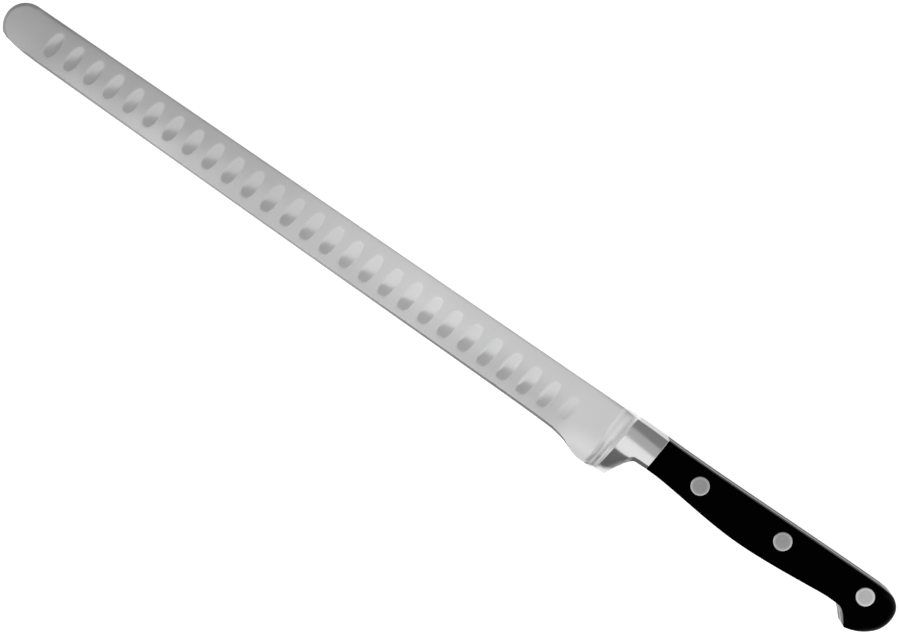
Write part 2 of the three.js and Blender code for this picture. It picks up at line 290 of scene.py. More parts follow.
# tang: starts on the joint line, follows the handle's outline
belly_line = spline(BELLY, 700)
back_line = spline(BACK, 500)
tang_x = np.r_[np.linspace(2e-5, 0.86, 46)[:-1], 1 - 0.14 * np.cos(np.linspace(0, 1, 60) * math.pi / 2 * 0.9995)]
for t in tang_x:
    xb = JOINT_BOTTOM[0] + (213.74 - JOINT_BOTTOM[0]) * t
    xt = JOINT_TOP[0] + (213.74 - JOINT_TOP[0]) * t
    yb = float(np.interp(xb, belly_line[:, 0], belly_line[:, 1]))
    yt = float(np.interp(-xt, -back_line[::-1, 0], back_line[::-1, 1]))
    cols.append((xb, yb, xt, yt, 3, t))
cols = np.array(cols)
LOW = np.array([0, .1, .25, .45, .7, 1.0, 1.3, 1.7, 2.2, 2.9])
BEVEL_ROWS = (np.array([0, .3, .6, .85, 1, 1, 1, 1, 1, 1]), np.array([0, 0, 0, 0, 0, .12, .35, .75, 1.3, 2.0]))
HIGH = np.array([0, .05, .13, .25, .4, .6, .9, 1.4, 2.0, 2.7])
N_MID = 30
B, T = cols[:, 0:2], cols[:, 2:4]
L = np.linalg.norm(T - B, axis=1)
k = np.minimum(1, L / 12)[:, None]


def bevel_slope(x):
    return 0.205 + 0.045 * smooth(-60, 30, x)


def land(x):
    """Half thickness left on the edge itself: a hair where it is ground, more on the blunt heel."""
    return 0.03 + 0.35 * smooth(66, 80, x)


bevel_w = np.clip((np.maximum(BLADE[0] + BLADE[1] * B[:, 0] + BLADE[2] * B[:, 1], 0.17) - land(B[:, 0])) / (bevel_slope(B[:, 0]) - BLADE[2]), 0.2, 1.1)
low_blade = BEVEL_ROWS[0][None] * bevel_w[:, None] + BEVEL_ROWS[1][None]
lo = np.where(cols[:, 4:5] == 0, low_blade, LOW[None]) * k
hi = HIGH[None] * k
mid = lo[:, -1:] + (L[:, None] - hi[:, -1:] - lo[:, -1:]) * (np.arange(1, N_MID + 1) / (N_MID + 1))[None]
D = np.hstack([lo, mid, L[:, None] - hi[:, ::-1]])
X = B[:, 0:1] + (T - B)[:, 0:1] * D / L[:, None]
Y = B[:, 1:2] + (T - B)[:, 1:2] * D / L[:, None]
kind = np.repeat(cols[:, 4:5], D.shape[1], 1)
share = np.repeat(cols[:, 5:6], D.shape[1], 1)
P = np.c_[X.ravel(), Y.ravel()]
d_low, _ = distance(P, low_line[::3])
d_nose, _ = distance(P, nose[::4])
d_top, _ = distance(P, spine_line)
d_guard, _ = distance(P, guard_line[::2])
d_low, d_nose, d_top, d_guard = (v.reshape(X.shape) for v in (d_low, d_nose, d_top, d_guard))
d_nose = np.where(X < TIP_C[0] + 14, d_nose, 99)

plane = BLADE[0] + BLADE[1] * X + BLADE[2] * Y
plane = plane + 0.0008 * smooth(-195, -60, X) * ((Y - 2.5) ** 2 - 121)      # a little hollow ground
plane = plane - 0.0010 * smooth(-120, -195, X) * ((Y - 4.0) ** 2 - 90)      # and fuller towards the nose
plane = plane - 0.0020 * np.maximum(0, -3.0 - Y) ** 2 * smooth(56, 72, X)     # the heel's corner eases off
plane = softmax2(plane, 0.17, 0.03)
tipward = smooth(-158, -198, X)
plane = plane - (0.035 + 0.03 * tipward) * np.clip(1 - d_top / 4.5, 0, 1) ** 2
spine_rim = (0.085 + 0.02 * tipward) * softplus(0.5 + 0.45 * tipward + 0.4 * smooth(66, 78, X) - d_top, 0.05)
nose_rim = (0.16 + 0.20 * smooth(13.4, 9.5, Y)) * softplus(1.2 - d_nose, 0.06)
plane = plane - np.minimum(np.maximum(spine_rim, nose_rim), 0.7 * plane)
bevel = land(X) + bevel_slope(X) * np.minimum(d_low, 12) + 0.45 * smooth(-197, -209.5, X)     # runs out before the nose
blade = softmin2(plane, bevel, 0.004)
blade = blade - np.minimum(rounding(d_top, 0.2), 0.8 * blade)
blade = blade - np.minimum(rounding(d_nose, 0.12), 0.6 * blade)
blade = np.maximum(blade, 0.03)


def scallops(offset):
    """Depth of one side's row of hollows, and how far their polish replaces the satin of the flats."""
    depth, polish = np.zeros_like(X), np.zeros_like(X)
    for i in range(SCALLOPS):
        cx = SCALLOP_X0 + SCALLOP_PITCH * (i + offset)
        if cx > 64:
            continue
        top_end, low_end, shift, tilt, full = (float(np.interp(cx, SCALLOP_AT, v)) for v in (
            SCALLOP_TOP, SCALLOP_BOTTOM, SCALLOP_SHIFT, SCALLOP_TILT, SCALLOP_FULL))
        long = top_end - low_end
        cy = float(low_y(min(max(cx, -185.85), 58.6))) + (top_end + low_end) / 2
        fade = 1.0 - 0.30 * float(smooth(44.0, 58.0, cx)) - 0.20 * float(smooth(54.0, 61.0, cx))
        dy = Y - cy
        dx = (X - cx - shift - SCALLOP_RAKE * dy) / (1 - 0.012 * dy)      # leans to the heel
        q = 1 - np.abs(dx / (SCALLOP_W / 2)) ** full - np.abs(dy / (long / 2)) ** 2
        m = q > -0.8
        q = 0.5 * (q[m] + np.sqrt(q[m] ** 2 + 0.015))
        d = SCALLOP_DEPTH * q * (1 + tilt * dy[m])
        depth[m] = np.maximum(depth[m], fade * d)
        polish[m] = np.maximum(polish[m], fade ** 0.5 * smooth(0.008, 0.053 + 0.1 * (1 - fade), d))
    return depth, polish


crest_x = CREST_BOTTOM + (CREST_TOP - CREST_BOTTOM) * (Y - HEEL_Y) / (13.66 - HEEL_Y)
joint_x = JOINT_BOTTOM[0] + (JOINT_TOP[0] - JOINT_BOTTOM[0]) * (Y - JOINT_BOTTOM[1]) / (JOINT_TOP[1] - JOINT_BOTTOM[1])
u = np.clip((X - crest_x) / (joint_x - crest_x), 0, 1)
crown_y = CROWN_FRONT + (CROWN_REAR - CROWN_FRONT) * u
crease = np.interp(X, [84, 86, 87.8, 89.4, 91], [-1.58, -1.63, -1.67, -1.42, -1.05])
yc = np.maximum(Y, crease)
crown = (yc - crown_y) ** 2 / (2 * CROWN_R) + (crown_y - crease) / CROWN_R * (yc - Y)
body = BOLSTER_FRONT + (BOLSTER_REAR - BOLSTER_FRONT) * u - crown
body = body - GUARD_SLOPE * softplus(crease - Y, 0.12)
rear_d = np.where(kind == 2, d_guard, 99)
low_r = 0.3 + 0.3 * smooth(-2.2, -4.5, Y) * (kind == 2)
chamfer = 1.35 + np.interp(X, [88.5, 91, 92.6, 94.2, 95.8, 97.4, 99], [0, 0.3, 0.72, 0.40, 0.48, 0.42, 0.37])
body = body - CHAMFER_SLOPE * softplus(chamfer - rear_d, 0.08) * smooth(-4.0, -2.5, Y)
body = body - 0.045 * np.maximum(0, 3.4 - rear_d) ** 2 * smooth(-1.5, -5.0, Y)
body = body - 0.0245 * np.maximum(0, -6.2 - Y) ** 2
body = body - rounding(d_top, 0.6) - np.minimum(rounding(d_low, low_r), 0.5 * body)
body = body - np.minimum(rounding(np.maximum(Y - HEEL_Y, 0), 1.2), 0.5 * body)
body = body - np.where(kind == 2, rounding(np.maximum(joint_x - X, 0), 0.45), 0)
ahead = crest_x - X
window = smooth(1.1, 1.8, ahead) * smooth(6.0, 5.1, ahead)
ripple = 0.085 * smooth(2, -6, Y) * (1 - 0.7 * smooth(-8, -12, Y)) * window * np.sin(2 * math.pi * (ahead - 2.6) / 1.95)      # two grinding troughs
ripple = ripple + 0.10 * smooth(-6, 2, Y) * np.maximum(0, 1 - ((ahead - 2.2) / 2.2) ** 2)
ripple = ripple - 0.06 * smooth(-4, 2, Y) * np.exp(-((ahead - 1.5) / 0.45) ** 2)
# the slope's corner at the spine dips a little
ripple = ripple - 0.35 * smooth(2.4, 0.5, d_top) * np.exp(-((ahead - 2.2) / 2.2) ** 2) * smooth(0, 1.2, ahead) * smooth(7.0, 5.5, ahead)
foot = 0.12 * smooth(4, -4, Y)
rise = share ** 2 / np.maximum(share + foot, 1e-6) * (1 + foot)      # softer start towards the heel


def half(depth):
    b = np.maximum(blade - depth, 0.05)
    ramp = b + (body - b) * rise + ripple
    return np.where(kind == 0, b, np.where(kind == 1, ramp, np.where(kind == 2, body, TANG_H)))


(depth_up, hollow_up), (depth_down, hollow_down) = scallops(0.0), scallops(0.5)
verts, faces = two_sided(X, Y, half(depth_up), half(depth_down))
forging = new_mesh("blade_forging", verts, faces, 11)
finish = np.where(kind == 0, 0.0, np.where(kind == 1, np.maximum(smooth(0.90, 1.0, share), 0.35 * window * smooth(0, -6, Y) * smooth(-11, -7, Y)), 1.0))
finish = np.where((kind == 0) & (bevel < plane + 0.002) & (X < 71), 0.45 * smooth(72, 65, X), finish)
hollow_up, hollow_down = hollow_up * (kind == 0), hollow_down * (kind == 0)
attr = forging.data.attributes.new("finish", "FLOAT", "POINT")
attr.data.foreach_set("value", np.r_[np.maximum(finish, hollow_up).ravel(), np.maximum(finish, hollow_down).ravel()].astype(np.float32))
# painted shade: the bolster's topmost rows take the darker hollow colour instead of the bolster's own
bolster = np.where(kind == 1, smooth(0.9, 1.0, share), (kind == 2) * smooth(0.2, 0.45, d_top))
attr = forging.data.attributes.new("bolster", "FLOAT", "POINT")
attr.data.foreach_set("value", np.tile(bolster.astype(np.float32).ravel(), 2))
# painted shade and painted highlight: the steel's tone is set lighter or darker by region, standing in for the blade's
# reflection
grey = 0.63 + 0.14 * (0.15 + 0.75 * np.clip((X + 200) / 180, 0, 1))
grey = grey * (1 + 0.22 * smooth(5, -4, Y) * smooth(-80, -150, X) * (1 - 0.7 * smooth(-170, -195, X)))     # painted highlight: the steel's tone is set brighter here
grey = grey * (1 - 0.11 * smooth(2, 9, Y) * smooth(-170, -125, X) * smooth(-62, -95, X))
grey = grey * (1 - 0.10 * smooth(4, -5, Y) * smooth(-70, -20, X) * smooth(66, 56, X))
grey = grey * (1 + 0.12 * smooth(0, -9, Y) * smooth(60, 70, X))
grey = grey * (1 - 0.05 * smooth(-203, -193, X) * smooth(-146, -156, X))
grey = grey * (1 - 0.08 * smooth(7, 2, Y) * smooth(-6, -2, Y) * smooth(14, 30, X) * smooth(62, 52, X))
slope_w = np.where(kind == 1, smooth(0.0, 0.35, share) * smooth(1.0, 0.93, share), 0.0)      # painted shade: the slope's tone is set darker
trough_at = 4.2 + 0.25 * np.maximum(0, -8.5 - Y)
# painted shade and painted highlight: dark bands in the slope's grinding troughs and light bands on its ridges, over
# the real ripple
troughs = -0.40 * np.exp(-((ahead - trough_at) / 0.85) ** 2) * smooth(-1, -6, Y) * smooth(-13.2, -12, Y) * smooth(0, 0.1, share) * (kind == 1)
ridges = 0.35 * smooth(-8, -10.5, Y) * (np.exp(-((ahead - 3.4) / 0.55) ** 2) + np.exp(-((ahead - 1.8) / 0.7) ** 2))
upper = smooth(-4, -1, Y) * smooth(11, 7, Y)
ridges = ridges + upper * (0.09 * np.exp(-((ahead - 3.8) / 0.6) ** 2) - 0.13 * smooth(3.0, 2.2, ahead) * smooth(0.1, 0.6, ahead))
ridges = ridges - 0.16 * np.exp(-((ahead - 2.8) / 0.6) ** 2) * smooth(1.5, -0.5, Y) * smooth(-3.8, -2.2, Y)
grey = (grey + (0.66 * (1 + ridges) - grey) * slope_w) * (1 + troughs)
# painted shade: the steel's tone darkens towards the tip
grey = grey * np.interp(X, [-210, -191, -172, -123, -75, -27, -7, 12, 40, 62], [0.752, 0.763, 0.79, 0.816, 0.869, 0.984, 1.01, 0.99, 0.984, 1.0])
attr = forging.data.attributes.new("grey", "FLOAT", "POINT")
attr.data.foreach_set("value", np.tile(((grey - 0.35) / 0.6).astype(np.float32).ravel(), 2))
# painted shade: the polished hollows' colour darkens towards the tip
painted_tip_shade = np.interp(X, [-191, -162, -123, -84.6, -45.8, -7, 21, 50], [0.706, 0.75, 0.758, 0.772, 0.92, 1.0, 0.97, 1.0])
attr = forging.data.attributes.new("painted_tip_shade", "FLOAT", "POINT")
attr.data.foreach_set("value", np.tile(painted_tip_shade.astype(np.float32).ravel(), 2))
attr = forging.data.attributes.new("tang", "FLOAT", "POINT")
# painted shade: the bolster's top edge takes part of the tang's dark tone
attr.data.foreach_set("value", np.tile(np.where(kind == 2, 0.48 * (d_top < 0.02) * smooth(0, 0.12, share), kind == 3).astype(np.float32).ravel(), 2))
cut(forging, [revolve("hole_" + n, [(0, 3), (TUBE_R + 0.1, 3), (TUBE_R + 0.1, 11), (0, 11)], c, 48)
              for n, c in RIVETS.items()], 11)

# ------------------------------------------------------------------------------------------------ scales
N_COL = 120
tx = np.r_[np.linspace(0, 0.80, 60)[:-1], 1 - 0.20 * np.cos(np.linspace(0, 1, 96) * math.pi / 2 * 0.9995)]
s_cols = []
GAP = 0.05
for t in tx:
    xb = JOINT_BOTTOM[0] + GAP + (213.735 - JOINT_BOTTOM[0] - GAP) * t
    xt = JOINT_TOP[0] + GAP + (213.735 - JOINT_TOP[0] - GAP) * t
    yb = float(np.interp(xb, belly_line[:, 0], belly_line[:, 1]))
    yt = float(np.interp(-xt, -back_line[::-1, 0], back_line[::-1, 1]))
    s_cols.append((xb, yb, xt, yt))
s_cols = np.array(s_cols)
SL = np.array([0, .06, .16, .3, .5, .75, 1.05, 1.45, 1.95, 2.6])
SH = np.array([0, .05, .12, .22, .36, .55, .8, 1.15, 1.6, 2.3])
N_SM = 20
sB, sT = s_cols[:, :2], s_cols[:, 2:]
sLen = np.linalg.norm(sT - sB, axis=1)
k = np.minimum(1, sLen / 12)[:, None]
lo, hi = SL[None] * k, SH[None] * k
mid = lo[:, -1:] + (sLen[:, None] - hi[:, -1:] - lo[:, -1:]) * (np.arange(1, N_SM + 1) / (N_SM + 1))[None]
SD = np.hstack([lo, mid, sLen[:, None] - hi[:, ::-1]])
SX = sB[:, 0:1] + (sT - sB)[:, 0:1] * SD / sLen[:, None]
SY = sB[:, 1:2] + (sT - sB)[:, 1:2] * SD / sLen[:, None]
outline = np.vstack([belly_line, back_line[::-1][1:]])
d_out, where = distance(np.c_[SX.ravel(), SY.ravel()], outline[::2])
d_out, where = d_out.reshape(SX.shape), where.reshape(SX.shape)
share_low = len(belly_line) / len(outline)
R_EDGE = 1.2 - 0.5 * smooth(share_low + 0.02, share_low + 0.13, where)
R_EDGE = R_EDGE - 0.7 * smooth(187, 191, SX) * smooth(201.5, 199.5, SX) * smooth(2, -1, SY)
R_EDGE = R_EDGE + 1.1 * smooth(204, 211, SX)
mid_y = np.interp(SX, [100, 120.8, 160.2, 199.6, 214], [6.0, 5.6, 5.98, 6.34, 6.4])
crown_s = 0.011 * np.maximum(0, np.abs(SY - mid_y) - 4.3) ** 2
front_d = SX - (JOINT_BOTTOM[0] + (JOINT_TOP[0] - JOINT_BOTTOM[0]) * (SY - JOINT_BOTTOM[1]) / (JOINT_TOP[1] - JOINT_BOTTOM[1]))
outer = MID - crown_s - rounding(d_out, R_EDGE) * 0.97 - np.clip(0.18 - front_d, 0, 0.18) * 0.5


def make_scale(name, side):
    inner = np.full_like(SX, TANG_H + GLUE)
    if side > 0:
        v, f = two_sided(SX, SY, outer, -inner)
    else:
        v, f = two_sided(SX, SY, -inner, outer)
    ob = new_mesh(name, v, f, 35)
    tools = []
    for n, c in RIVETS.items():
        z_in, z_floor, z_out = (MID + side * 0.5, MID + side * (MID - HEAD_T - 0.02), MID + side * (MID + 1))
        bore = [(0, z_in), (TUBE_R + 0.06, z_in), (TUBE_R + 0.06, z_floor), (HEAD_R + 0.04, z_floor), (HEAD_R + 0.04, z_out), (0, z_out)]
        tools.append(revolve("bore_" + n, bore if side > 0 else bore[::-1], c, 96))
    cut(ob, tools)
    co = np.empty(len(ob.data.vertices) * 3)
    ob.data.vertices.foreach_get("co", co)
    co = co.reshape(-1, 3) * 1000
    d, _ = distance(co[:, :2], outline[::2])
    hook = smooth(190, 192.5, co[:, 0]) * smooth(200.2, 199.2, co[:, 0]) * smooth(-1.9, -2.8, co[:, 1]) * smooth(0.25, 0.05, d)
    butt = 0.8 * smooth(203, 209, co[:, 0]) * smooth(2.4, 1.3, d)
    at = ob.data.attributes.new("buffed", "FLOAT", "POINT")
    at.data.foreach_set("value", np.maximum(hook, butt).astype(np.float32))
    return ob


scale_up = make_scale("scale_up", 1)
scale_down = make_scale("scale_down", -1)


def lean(ob):
    """The hook's inner face is finished slightly out of square: the far side stands out more than the near one."""
    me = ob.data
    co = np.empty(len(me.vertices) * 3)
    me.vertices.foreach_get("co", co)
    co = co.reshape(-1, 3) * 1000
    w = smooth(189.5, 193.0, co[:, 0]) * smooth(200.5, 198.0, co[:, 0]) * smooth(-1.5, -3.5, co[:, 1])
    co[:, :2] += np.array([0.70, 0.70]) * (0.055 * co[:, 2] * w)[:, None]
    me.vertices.foreach_set("co", (co * 0.001).ravel())
    me.update()


for ob in (forging, scale_up, scale_down):
    lean(ob)

# ------------------------------------------------------------------------------------------------ rivets
top = 2 * MID


def head(sign, z_face):
    """Head profile from rim to centre: ground flush, with the rim rounded over."""
    r = 0.5
    rim = [(HEAD_R - r + r * math.sin(a), z_face - sign * r * (1 - math.cos(a))) for a in np.linspace(math.radians(62), 0, 9)]
    return [(HEAD_R, z_face - sign * HEAD_T), (HEAD_R, z_face - sign * 0.45)] + rim + [
        (HEAD_R - 0.9, z_face), (HEAD_R - 1.6, z_face), (1.2, z_face), (0.0, z_face)]


rivets = []
for n, c in RIVETS.items():
    pin = [(0, 2.4), (PIN_R - 0.3, 2.4), (PIN_R, 2.75), (PIN_R, top - HEAD_T)] + head(1, top)
    tube = list(reversed(head(-1, 0.0))) + [(TUBE_R, HEAD_T), (TUBE_R, 11.6), (TUBE_R - 0.15, 11.8), (PIN_R + 0.04, 11.8),
                                            (PIN_R + 0.04, 2.0), (0, 2.0)]
    rivets.append((revolve(f"rivet_{n}_pin", pin, c, 96, 40), f"{n}_rivet_pin"))
    rivets.append((revolve(f"rivet_{n}_tube", tube, c, 96, 40), f"{n}_rivet_tube"))


# ------------------------------------------------------------------------------------------------ materials
class Nodes:
    """Small helper to wire a node tree."""

    def __init__(self, tree):
        self.t = tree
        self.t.nodes.clear()

    def add(self, kind, **kw):
        n = self.t.nodes.new(kind)
        for key, val in kw.items():
            if key == "inputs":
                for name, v in val.items():
                    n.inputs[name].default_value = v
            else:
                setattr(n, key, val)
        return n

    def link(self, a, b):
        self.t.links.new(a, b)


def material(name):
    m = bpy.data.materials.new(name)
    m.use_nodes = True
    n = Nodes(m.node_tree)
    out = n.add("ShaderNodeOutputMaterial")
    bsdf = n.add("ShaderNodeBsdfPrincipled")
    n.link(bsdf.outputs[0], out.inputs[0])
    return m, n, bsdf


def ramp(n, a, b, lo, hi):
    r = n.add("ShaderNodeMapRange", inputs={1: a, 2: b, 3: lo, 4: hi})
    return r


def steel():
    m, n, bsdf = material("blade_steel")
    bsdf.inputs["Metallic"].default_value = 1.0
    tc = n.add("ShaderNodeTexCoord")
    # fine cross-ground lines: long across the blade, tight along it
    mp = n.add("ShaderNodeMapping", inputs={"Scale": (5200, 160, 160)})
    n.link(tc.outputs["Object"], mp.inputs["Vector"])
    grain = n.add("ShaderNodeTexNoise", inputs={"Scale": 1.0, "Detail": 3.0, "Roughness": 0.6})
    n.link(mp.outputs[0], grain.inputs["Vector"])
    cloud = n.add("ShaderNodeTexNoise", inputs={"Scale": 60.0, "Detail": 3.0, "Roughness": 0.55})
    n.link(tc.outputs["Object"], cloud.inputs["Vector"])
    fin = n.add("ShaderNodeAttribute", attribute_name="finish")
    r_blade = ramp(n, 0.3, 0.7, 0.31, 0.39)
    n.link(cloud.outputs[0], r_blade.inputs[0])
    r_hollow = ramp(n, 0.3, 0.7, 0.07, 0.10)
    n.link(cloud.outputs[0], r_hollow.inputs[0])
    r_bolster = ramp(n, 0.3, 0.7, 0.10, 0.14)
    n.link(cloud.outputs[0], r_bolster.inputs[0])
    bol = n.add("ShaderNodeAttribute", attribute_name="bolster")
    r_pol = n.add("ShaderNodeMix", data_type="FLOAT")
    n.link(bol.outputs["Fac"], r_pol.inputs[0])
    n.link(r_hollow.outputs[0], r_pol.inputs[2])
    n.link(r_bolster.outputs[0], r_pol.inputs[3])
    mix = n.add("ShaderNodeMix", data_type="FLOAT")
    n.link(fin.outputs["Fac"], mix.inputs[0])
    n.link(r_blade.outputs[0], mix.inputs[2])
    n.link(r_pol.outputs[0], mix.inputs[3])
    tang = n.add("ShaderNodeAttribute", attribute_name="tang")
    dull = n.add("ShaderNodeMix", data_type="FLOAT")
    n.link(tang.outputs["Fac"], dull.inputs[0])
    n.link(mix.outputs[0], dull.inputs[2])
    dull.inputs[3].default_value = 0.5
    n.link(dull.outputs[0], bsdf.inputs["Roughness"])
    # the satin ground flats look paler than the polished hollows; their tone carries painted shade, darker towards the
    # tip
    tone_at = n.add("ShaderNodeAttribute", attribute_name="grey")
    shade = n.add("ShaderNodeMath", operation="MULTIPLY_ADD")
    blotch = ramp(n, 0.3, 0.7, -0.5, 0.5)
    n.link(cloud.outputs[0], blotch.inputs[0])
    n.link(blotch.outputs[0], shade.inputs[0])
    shade.inputs[1].default_value = 0.04
    n.link(tone_at.outputs["Fac"], shade.inputs[2])
    satin = n.add("ShaderNodeMix", data_type="RGBA")
    satin.inputs[6].default_value = (0.35, 0.35, 0.354, 1)
    satin.inputs[7].default_value = (0.95, 0.95, 0.956, 1)
    n.link(shade.outputs[0], satin.inputs[0])
    bright = n.add("ShaderNodeMix", data_type="RGBA")
    bright.inputs[6].default_value = (0.56, 0.56, 0.565, 1)
    bright.inputs[7].default_value = (0.61, 0.61, 0.615, 1)
    n.link(cloud.outputs[0], bright.inputs[0])
    # painted shade: the polished colour is multiplied darker towards the tip
    painted_tip_shade = n.add("ShaderNodeAttribute", attribute_name="painted_tip_shade")
    tip_shaded_polish = n.add("ShaderNodeMix", data_type="RGBA", blend_type="MULTIPLY", inputs={0: 1.0})
    n.link(bright.outputs[2], tip_shaded_polish.inputs[6])
    n.link(painted_tip_shade.outputs["Color"], tip_shaded_polish.inputs[7])
    polished = n.add("ShaderNodeMix", data_type="RGBA")
    n.link(bol.outputs["Fac"], polished.inputs[0])
    n.link(tip_shaded_polish.outputs[2], polished.inputs[6])
    polished.inputs[7].default_value = (0.70, 0.70, 0.705, 1)
    col = n.add("ShaderNodeMix", data_type="RGBA")
    n.link(fin.outputs["Fac"], col.inputs[0])
    n.link(satin.outputs[2], col.inputs[6])
    n.link(polished.outputs[2], col.inputs[7])
    # the tang's edge, ground with the scales, is a duller grey than the blade; the same tone on the bolster's top edge
    # is painted shade
    tone = n.add("ShaderNodeMix", data_type="RGBA")
    n.link(tang.outputs["Fac"], tone.inputs[0])
    n.link(col.outputs[2], tone.inputs[6])
    tone.inputs[7].default_value = (0.30, 0.30, 0.30, 1)
    n.link(tone.outputs[2], bsdf.inputs["Base Color"])
    bump = n.add("ShaderNodeBump", inputs={"Strength": 0.05, "Distance": 0.00002})
    n.link(grain.outputs[0], bump.inputs["Height"])
    n.link(bump.outputs[0], bsdf.inputs["Normal"])
    return m


def plastic():
    m, n, bsdf = material("handle_black")
    tc = n.add("ShaderNodeTexCoord")
    cloud = n.add("ShaderNodeTexNoise", inputs={"Scale": 90.0, "Detail": 4.0, "Roughness": 0.6})
    n.link(tc.outputs["Object"], cloud.inputs["Vector"])
    rr = ramp(n, 0.3, 0.7, 0.20, 0.30)
    n.link(cloud.outputs[0], rr.inputs[0])
    n.link(rr.outputs[0], bsdf.inputs["Roughness"])
    col = n.add("ShaderNodeMix", data_type="RGBA")
    col.inputs[6].default_value = (0.0002, 0.0002, 0.0002, 1)
    col.inputs[7].default_value = (0.0008, 0.0008, 0.0009, 1)
    n.link(cloud.outputs[0], col.inputs[0])
    n.link(col.outputs[2], bsdf.inputs["Base Color"])
    # the butt's rounded edge and the hook's inner face are buffed brighter
    buff = n.add("ShaderNodeAttribute", attribute_name="buffed")
    shine = ramp(n, 0.0, 1.0, 0.005, 0.12)
    n.link(buff.outputs["Fac"], shine.inputs[0])
    n.link(shine.outputs[0], bsdf.inputs["Specular IOR Level"])
    peel = n.add("ShaderNodeTexNoise", inputs={"Scale": 1500.0, "Detail": 2.0})
    n.link(tc.outputs["Object"], peel.inputs["Vector"])
    bump = n.add("ShaderNodeBump", inputs={"Strength": 0.08, "Distance": 0.00002})
    n.link(peel.outputs[0], bump.inputs["Height"])
    n.link(bump.outputs[0], bsdf.inputs["Normal"])
    return m


def rivet_metal():
    m, n, bsdf = material("rivet_steel")
    bsdf.inputs["Metallic"].default_value = 1.0
    tc = n.add("ShaderNodeTexCoord")
    cloud = n.add("ShaderNodeTexNoise", inputs={"Scale": 700.0, "Detail": 3.0})
    n.link(tc.outputs["Object"], cloud.inputs["Vector"])
    rad = n.add("ShaderNodeAttribute", attribute_name="radius_mm")
    # turning marks: rings drawn from the distance to the rivet's own axis
    rings = n.add("ShaderNodeTexNoise", noise_dimensions="1D", inputs={"Scale": 9.0, "Detail": 3.0, "Roughness": 0.7})
    n.link(rad.outputs["Fac"], rings.inputs["W"])
    blend = n.add("ShaderNodeMix", data_type="FLOAT", inputs={0: 0.5})
    n.link(cloud.outputs[0], blend.inputs[2])
    n.link(rings.outputs[0], blend.inputs[3])
    rr = ramp(n, 0.3, 0.7, 0.14, 0.22)
    n.link(blend.outputs[0], rr.inputs[0])
    n.link(rr.outputs[0], bsdf.inputs["Roughness"])
    face = n.add("ShaderNodeMix", data_type="RGBA")
    face.inputs[6].default_value = (0.40, 0.40, 0.405, 1)
    face.inputs[7].default_value = (0.50, 0.50, 0.505, 1)
    n.link(blend.outputs[0], face.inputs[0])
    # painted highlight: a lighter ring of colour over the head's outer band and rounded rim
    rim = n.add("ShaderNodeMapRange", interpolation_type="SMOOTHSTEP", inputs={1: 2.5, 2: 3.5, 3: 0.0, 4: 1.0})
    n.link(rad.outputs["Fac"], rim.inputs[0])
    col = n.add("ShaderNodeMix", data_type="RGBA")
    n.link(rim.outputs[0], col.inputs[0])
    n.link(face.outputs[2], col.inputs[6])
    col.inputs[7].default_value = (0.62, 0.62, 0.625, 1)
    n.link(col.outputs[2], bsdf.inputs["Base Color"])
    bump = n.add("ShaderNodeBump", inputs={"Strength": 0.12, "Distance": 0.00002})
    n.link(rings.outputs[0], bump.inputs["Height"])
    n.link(bump.outputs[0], bsdf.inputs["Normal"])
    return m


STEEL, BLACK, RIVET = steel(), plastic(), rivet_metal()


def place(ob, mat, slot, *nodes):
    ob.data.materials.clear()
    ob.data.materials.append(mat)
    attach(ob, "root")
    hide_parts(*nodes)


place(forging, STEEL, "blade_steel", "blade_bolster_tang")
place(scale_up, BLACK, "handle_black", "upper_scale")
place(scale_down, BLACK, "handle_black", "lower_scale")
for ob, node in rivets:
    place(ob, RIVET, "rivet_steel", node)
    c = RIVETS[node.split("_")[0]]
    co = np.empty(len(ob.data.vertices) * 3)
    ob.data.vertices.foreach_get("co", co)
    co = co.reshape(-1, 3) * 1000
    at = ob.data.attributes.new("radius_mm", "FLOAT", "POINT")
    at.data.foreach_set("value", np.hypot(co[:, 0] - c[0], co[:, 1] - c[1]).astype(np.float32))

# ------------------------------------------------------------------------------------------------ camera
TILT = math.radians(7.0)
ROLL = math.radians(34.37)
target = Vector((0.00140, 0.00385, 0.007))
view = Vector((0, math.sin(TILT), math.cos(TILT)))
spine_up = Vector((0, math.cos(TILT), -math.sin(TILT)))
along = Vector((1, 0, 0))
cam_x = along * math.cos(ROLL) + spine_up * math.sin(ROLL)
cam_y = spine_up * math.cos(ROLL) - along * math.sin(ROLL)
cam = bpy.data.objects.new("camera", bpy.data.cameras.new("camera"))
bpy.context.scene.collection.objects.link(cam)
cam.data.sensor_fit = "HORIZONTAL"
cam.data.sensor_width = 36.0
cam.data.lens = 72.0
cam.data.clip_start = 0.01
pos = target + view * 0.720
m = Matrix((cam_x, cam_y, view)).transposed().to_4x4()
m.translation = pos
cam.matrix_world = m
bpy.context.scene.camera = cam

# ------------------------------------------------------------------------------------------------ floor and light
fl = bpy.data.meshes.new("floor")
S = 3.0
fl.from_pydata([(-S, -S, 0), (S, -S, 0), (S, S, 0), (-S, S, 0)], [], [(0, 1, 2, 3)])
floor = bpy.data.objects.new("floor", fl)
bpy.context.scene.collection.objects.link(floor)
fm, fn, fb = material("glowing_floor")
tc = fn.add("ShaderNodeTexCoord")
no = fn.add("ShaderNodeTexNoise", inputs={"Scale": 40.0, "Detail": 3.0})
fn.link(tc.outputs["Object"], no.inputs["Vector"])
fc = fn.add("ShaderNodeMix", data_type="RGBA")
fc.inputs[6].default_value = (0.50, 0.50, 0.50, 1)
fc.inputs[7].default_value = (0.52, 0.52, 0.52, 1)
fn.link(no.outputs[0], fc.inputs[0])
fn.link(fc.outputs[2], fb.inputs["Base Color"])
fb.inputs["Roughness"].default_value = 0.9
fb.inputs["Specular IOR Level"].default_value = 0.0
